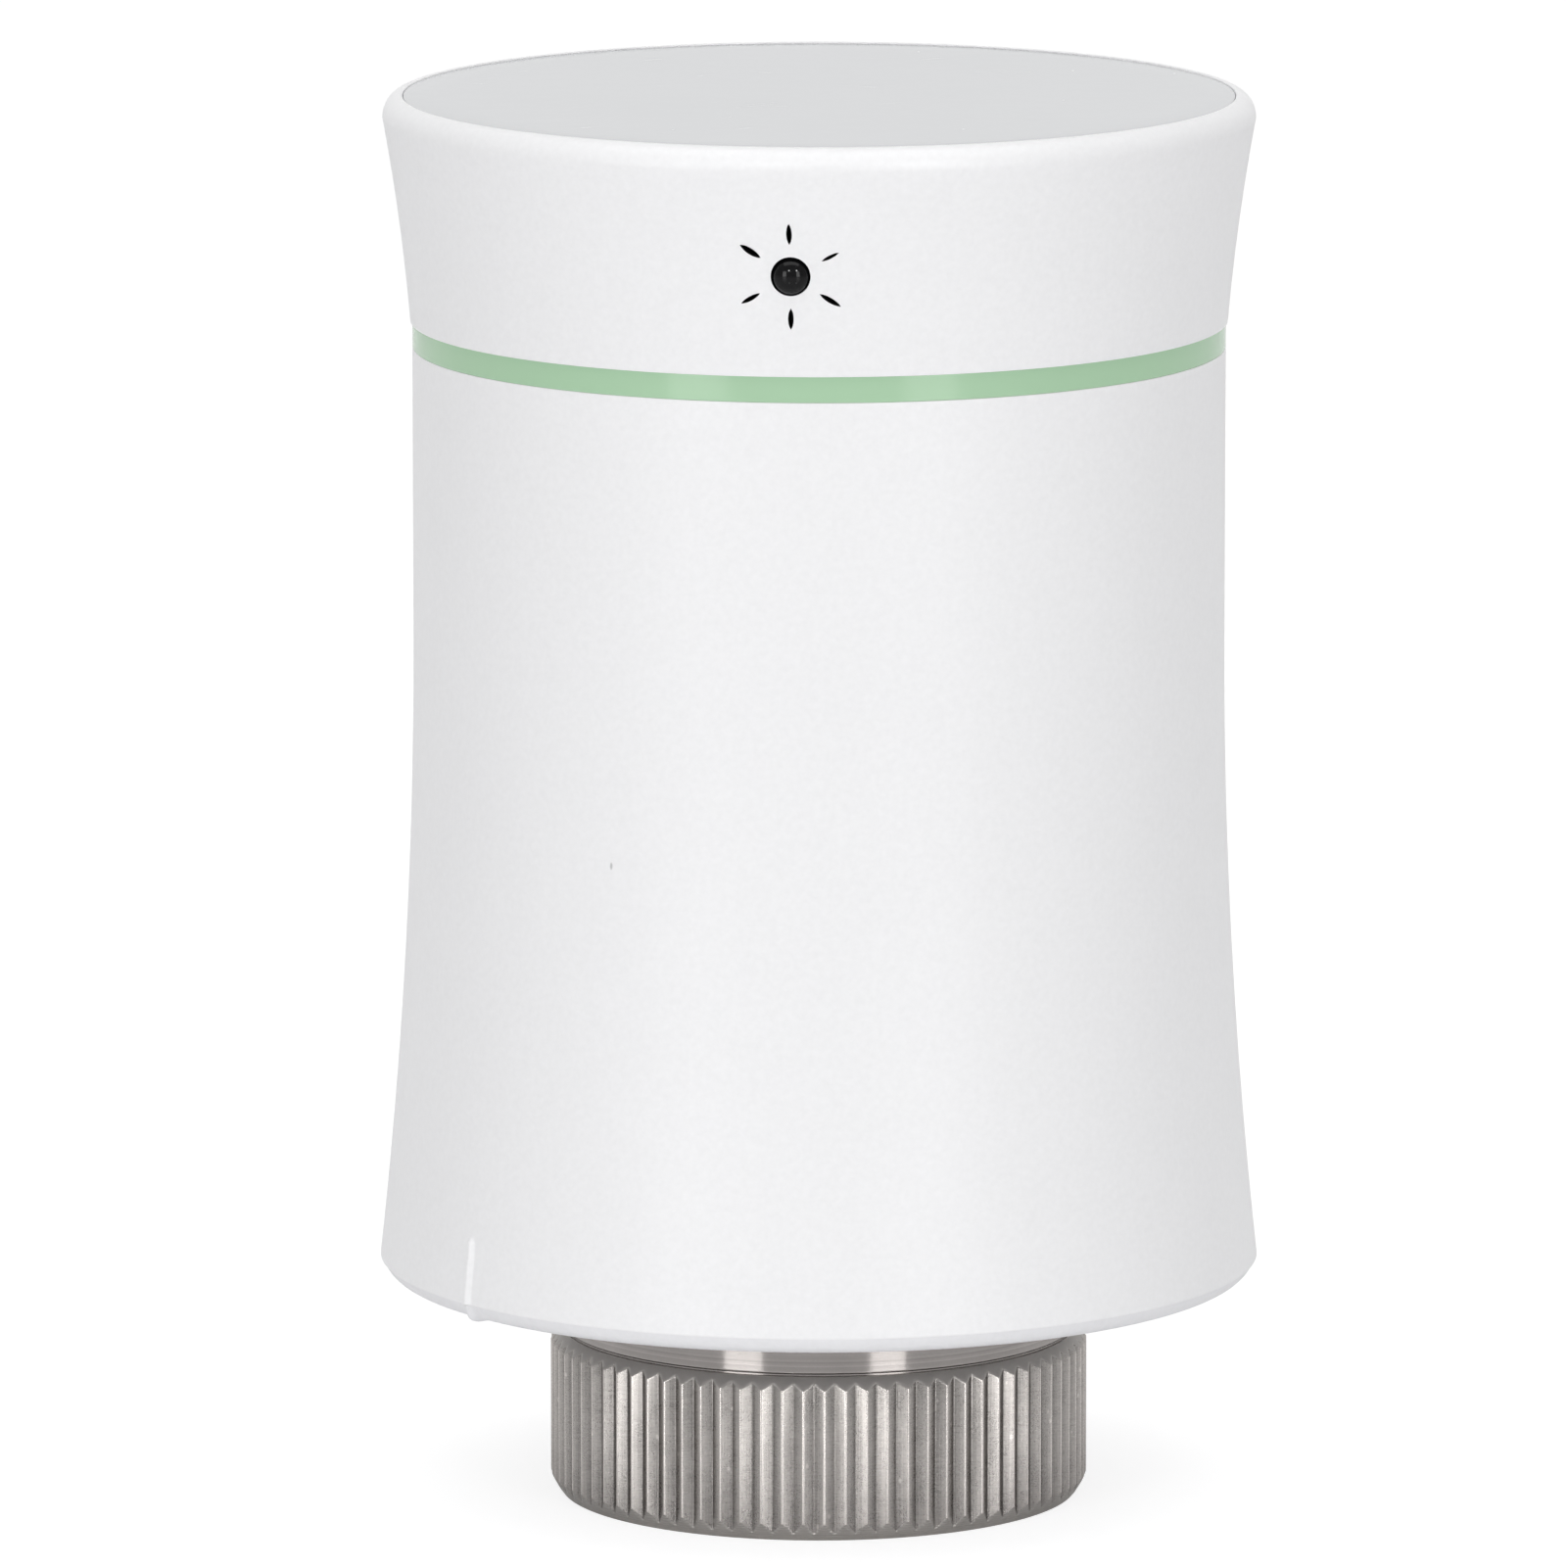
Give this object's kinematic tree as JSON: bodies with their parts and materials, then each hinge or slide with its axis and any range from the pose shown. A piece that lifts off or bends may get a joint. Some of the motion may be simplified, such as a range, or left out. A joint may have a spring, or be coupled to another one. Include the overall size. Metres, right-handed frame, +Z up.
{
  "type": "radiator thermostat",
  "caption": "Battery-powered radiator valve thermostat head with a spring-centred jog ring, geared plunger drive, twist-lock adapter and knurled union nut.",
  "frame": {"origin": "centre of the union nut's lower face, which is the bottom of the part", "axes": "+Z up along the common axis from the nut to the display, -Y is the front with the sensor"},
  "size_m": [0.0556, 0.0556, 0.089],
  "materials": {
    "white_shell": "fine satin moulded plastic",
    "display_grey": "smooth translucent grey lens",
    "accent_green": "satin pale green plastic",
    "sensor_black": "glossy black lens",
    "nickel_plate": "turned and nickel-plated",
    "steel": "bright steel",
    "spring_steel": "spring steel",
    "chassis_grey": "moulded technical plastic",
    "cradle_dark": "moulded technical plastic",
    "gear_natural": "natural acetal",
    "brass": "turned brass",
    "board_green": "solder mask",
    "chip_black": "moulded chip package",
    "cell_jacket": "printed cell jacket without text"
  },
  "bodies": {
    "main_unit": {"outer_sleeve": "white_shell", "accent_ring": "accent_green", "head_frame": "chassis_grey", "jog_spring": "spring_steel", "display_lens": "display_grey", "display_panel": "chip_black", "display_board": "board_green", "thrust_washer": "steel", "axle_1": "steel", "axle_2": "steel", "motor": "steel", "gearbox_base": "chassis_grey", "gearbox_cover": "chassis_grey", "gearbox_screw_1": "steel", "gearbox_screw_2": "steel", "gearbox_screw_3": "steel", "battery_cradle": "cradle_dark", "cell_left": "cell_jacket", "cell_right": "cell_jacket", "cell_bridge": "spring_steel", "contact_positive": "spring_steel", "contact_negative": "spring_steel", "main_board": "board_green", "radio_module": "steel", "motor_driver": "chip_black", "jog_sensor": "chip_black", "sensor_board": "board_green"},
    "jog_ring": {"jog_ring": "white_shell", "sensor_lens": "sensor_black", "jog_magnet": "spring_steel"},
    "valve_adapter": {"backplate": "white_shell", "valve_collar": "nickel_plate", "retaining_clip": "spring_steel"},
    "union_nut": {"union_nut": "nickel_plate"},
    "plunger": {"plunger": "brass"},
    "spindle_gear": {"spindle_gear": "gear_natural"},
    "gear_2": {"gear_2": "gear_natural"},
    "gear_1": {"gear_1": "gear_natural"},
    "motor_rotor": {"motor_pinion": "brass", "motor_shaft": "steel"}
  },
  "joints": [
    {"name": "jog_turn", "type": "hinge", "parent": "main_unit", "child": "jog_ring", "pos_m": [0, 0, 0.08], "axis": [0, 0, 1], "range_deg": [-20, 20], "stiffness_Nm_per_rad": 0.06},
    {"name": "bayonet_turn", "type": "hinge", "parent": "main_unit", "child": "valve_adapter", "pos_m": [0, 0, 0.017], "axis": [0, 0, 1], "range_deg": [0, 25]},
    {"name": "nut_turn", "type": "hinge", "parent": "valve_adapter", "child": "union_nut", "pos_m": [0, 0, 0.007], "axis": [0, 0, 1], "continuous": true},
    {"name": "plunger_slide", "type": "slide", "parent": "main_unit", "child": "plunger", "axis": [0, 0, -1], "range_m": [0, 0.0043]},
    {"name": "spindle_turn", "type": "hinge", "parent": "main_unit", "child": "spindle_gear", "pos_m": [0, 0, 0.0204], "axis": [0, 0, 1], "range_deg": [0, 1549]},
    {"name": "gear_2_turn", "type": "hinge", "parent": "main_unit", "child": "gear_2", "pos_m": [-0.01179, -0.00223, 0.0216], "axis": [0, 0, 1], "range_deg": [-7741, 0]},
    {"name": "gear_1_turn", "type": "hinge", "parent": "main_unit", "child": "gear_1", "pos_m": [-0.00791, -0.00968, 0.0236], "axis": [0, 0, 1], "range_deg": [0, 24769]},
    {"name": "motor_turn", "type": "hinge", "parent": "main_unit", "child": "motor_rotor", "pos_m": [0, -0.0125, 0.0244], "axis": [0, 0, 1], "range_deg": [-79259, 0]}
  ],
  "couplings": [
    {"joint": "spindle_turn", "follows": "plunger_slide", "rad_per_m": 6283.2},
    {"joint": "gear_2_turn", "follows": "plunger_slide", "rad_per_m": -31416},
    {"joint": "gear_1_turn", "follows": "plunger_slide", "rad_per_m": 100530},
    {"joint": "motor_turn", "follows": "plunger_slide", "rad_per_m": -321700}
  ]
}
